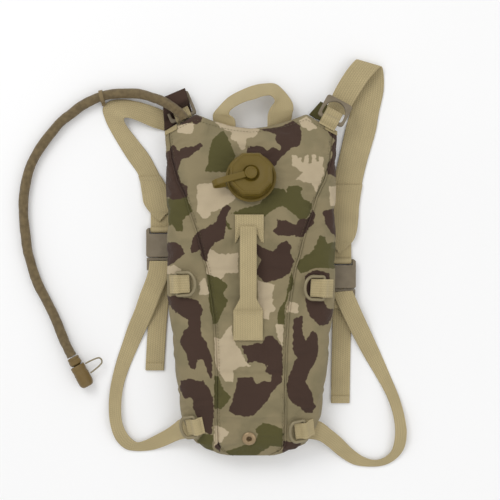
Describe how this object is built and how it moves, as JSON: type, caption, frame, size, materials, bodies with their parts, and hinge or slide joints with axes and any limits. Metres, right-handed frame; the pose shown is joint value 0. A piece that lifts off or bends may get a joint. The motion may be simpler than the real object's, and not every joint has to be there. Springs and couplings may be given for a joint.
{
  "type": "hydration pack",
  "caption": "Slim hydration backpack with bladder, screw-cap filler, sleeved drinking hose with bite valve, shoulder straps with side-release buckles, carry handles and rings.",
  "frame": {"origin": "centre of the flat rear face of the rear panel, which is the face that lies on the wearer's back and on the ground", "axes": "+X to the right seen from the front, +Y to the top of the pack, +Z out of the front"},
  "size_m": [0.4966, 0.5225, 0.0796],
  "materials": {
    "camo_fabric": "woven, printed",
    "rear_fabric": "woven mesh",
    "webbing": "ribbed webbing",
    "binding_tape": "grosgrain tape",
    "foil_foam": "foil-faced foam",
    "bladder_film": "clear film",
    "cap_plastic": "moulded, satin",
    "soft_rubber": "smooth",
    "hose_sleeve": "braided sleeve",
    "elastic": "elastic cord",
    "ring_metal": "painted",
    "buckle_plastic": "moulded, matt",
    "eyelet_brass": "satin",
    "zip_fabric": "woven tape",
    "zip_metal": "painted"
  },
  "bodies": {
    "pack": {"front_panel": "camo_fabric", "side_panel_left": "camo_fabric", "side_panel_right": "camo_fabric", "insulation_liner": "foil_foam", "rear_panel": "rear_fabric", "top_gusset": "camo_fabric", "bottom_gusset": "camo_fabric", "corner_flap_left": "camo_fabric", "mouth_binding_left": "binding_tape", "corner_flap_right": "camo_fabric", "mouth_binding_right": "binding_tape", "bladder": "bladder_film", "filler_neck": "cap_plastic", "inner_tube": "soft_rubber", "drink_hose": "hose_sleeve", "valve_collar": "cap_plastic", "mouthpiece": "soft_rubber", "tab_side_left": "webbing", "tab_side_right": "webbing", "tab_lower_left": "webbing", "tab_lower_right": "webbing", "tab_top_left": "webbing", "tab_top_right": "webbing", "shoulder_strap_left": "webbing", "lower_strap_left": "webbing", "strap_end_left": "webbing", "shoulder_strap_right": "webbing", "lower_strap_right": "webbing", "strap_end_right": "webbing", "buckle_female_left": "buckle_plastic", "buckle_female_right": "buckle_plastic", "front_handle": "webbing", "handle_patch_upper": "webbing", "handle_patch_lower": "webbing", "drain_eyelet": "eyelet_brass", "hose_keeper": "elastic", "zip_tape": "zip_fabric"},
    "cap_lifter": {"cap_boss": "cap_plastic", "cap_tether": "cap_plastic"},
    "cap": {"cap": "cap_plastic", "neck_gasket": "soft_rubber"},
    "valve_cover": {"valve_cover": "cap_plastic"},
    "valve_bail": {"valve_bail": "ring_metal"},
    "ring_side_left": {"ring_side_left": "ring_metal"},
    "ring_side_right": {"ring_side_right": "ring_metal"},
    "ring_lower_left": {"ring_lower_left": "ring_metal"},
    "ring_lower_right": {"ring_lower_right": "ring_metal"},
    "ring_top_left": {"ring_top_left": "buckle_plastic"},
    "ring_top_right": {"ring_top_right": "buckle_plastic"},
    "buckle_male_left": {"buckle_male_left": "buckle_plastic", "strap_tail_left": "webbing"},
    "buckle_male_right": {"buckle_male_right": "buckle_plastic", "strap_tail_right": "webbing"},
    "prong_left_inner": {"prong_left_inner": "buckle_plastic"},
    "prong_left_outer": {"prong_left_outer": "buckle_plastic"},
    "prong_right_inner": {"prong_right_inner": "buckle_plastic"},
    "prong_right_outer": {"prong_right_outer": "buckle_plastic"},
    "top_handle": {"top_handle": "webbing"},
    "zip_slider": {"zip_slider": "zip_metal"},
    "zip_puller": {"zip_puller": "zip_metal"}
  },
  "joints": [
    {"name": "cap_lift", "type": "slide", "parent": "pack", "child": "cap_lifter", "axis": [0, 0.2079, 0.9781], "range_m": [0, 0.0081]},
    {"name": "cap_turn", "type": "hinge", "parent": "cap_lifter", "child": "cap", "pos_m": [0, 0.122, 0.05169], "axis": [0, 0.2079, 0.9781], "range_deg": [0, 720]},
    {"name": "cover_pull", "type": "slide", "parent": "pack", "child": "valve_cover", "axis": [0.4755, -0.8797, 0], "range_m": [0, 0.024]},
    {"name": "bail_swing", "type": "hinge", "parent": "valve_cover", "child": "valve_bail", "pos_m": [-0.2086, -0.11839, 0.0099], "axis": [0.4755, -0.8797, 0], "range_deg": [-15, 85]},
    {"name": "swing_side_left", "type": "hinge", "parent": "pack", "child": "ring_side_left", "pos_m": [-0.09332, -0.01111, 0.04654], "axis": [0.0499, -0.9987, -0.0033], "range_deg": [0, 150]},
    {"name": "swing_side_right", "type": "hinge", "parent": "pack", "child": "ring_side_right", "pos_m": [0.09115, -0.01611, 0.04728], "axis": [0.0499, 0.9987, 0.0057], "range_deg": [0, 150]},
    {"name": "swing_lower_left", "type": "hinge", "parent": "pack", "child": "ring_lower_left", "pos_m": [-0.06934, -0.19005, 0.04282], "axis": [-0.1932, 0.966, 0.172], "range_deg": [0, 150]},
    {"name": "swing_lower_right", "type": "hinge", "parent": "pack", "child": "ring_lower_right", "pos_m": [0.06782, -0.1941, 0.04229], "axis": [-0.1145, 0.9544, 0.2756], "range_deg": [0, 130]},
    {"name": "swing_top_left", "type": "hinge", "parent": "pack", "child": "ring_top_left", "pos_m": [-0.086, 0.201, 0.0103], "axis": [0.9243, 0.3818, 0], "range_deg": [0, 5]},
    {"name": "swing_top_right", "type": "hinge", "parent": "pack", "child": "ring_top_right", "pos_m": [0.1, 0.196, 0.0315], "axis": [0.8821, -0.4711, 0], "range_deg": [0, 110]},
    {"name": "release_left", "type": "slide", "parent": "pack", "child": "buckle_male_left", "axis": [0, -1, 0], "range_m": [0, 0.024]},
    {"name": "release_right", "type": "slide", "parent": "pack", "child": "buckle_male_right", "axis": [0, -1, 0], "range_m": [0, 0.024]},
    {"name": "squeeze_left_inner", "type": "hinge", "parent": "buckle_male_left", "child": "prong_left_inner", "pos_m": [-0.1065, 0.0235, 0.0055], "axis": [0, 0, 1], "range_deg": [0, 7]},
    {"name": "squeeze_left_outer", "type": "hinge", "parent": "buckle_male_left", "child": "prong_left_outer", "pos_m": [-0.1265, 0.0235, 0.0055], "axis": [0, 0, -1], "range_deg": [0, 7]},
    {"name": "squeeze_right_inner", "type": "hinge", "parent": "buckle_male_right", "child": "prong_right_inner", "pos_m": [0.1065, -0.0165, 0.0055], "axis": [0, 0, -1], "range_deg": [0, 7]},
    {"name": "squeeze_right_outer", "type": "hinge", "parent": "buckle_male_right", "child": "prong_right_outer", "pos_m": [0.1265, -0.0165, 0.0055], "axis": [0, 0, 1], "range_deg": [0, 7]},
    {"name": "handle_swing", "type": "hinge", "parent": "pack", "child": "top_handle", "pos_m": [0, 0.199, 0.014], "axis": [1, 0, 0], "range_deg": [-8, 64]},
    {"name": "zip_slide", "type": "slide", "parent": "pack", "child": "zip_slider", "axis": [1, 0, 0], "range_m": [0, 0.112]},
    {"name": "puller_swing", "type": "hinge", "parent": "zip_slider", "child": "zip_puller", "pos_m": [-0.0634, 0.138, 0.0014], "axis": [0, 1, 0], "range_deg": [0, 100]}
  ],
  "couplings": [
    {"joint": "cap_lift", "follows": "cap_turn", "m_per_rad": 0.00063662},
    {"joint": "squeeze_left_outer", "follows": "squeeze_left_inner", "ratio": 1},
    {"joint": "squeeze_right_outer", "follows": "squeeze_right_inner", "ratio": 1}
  ]
}
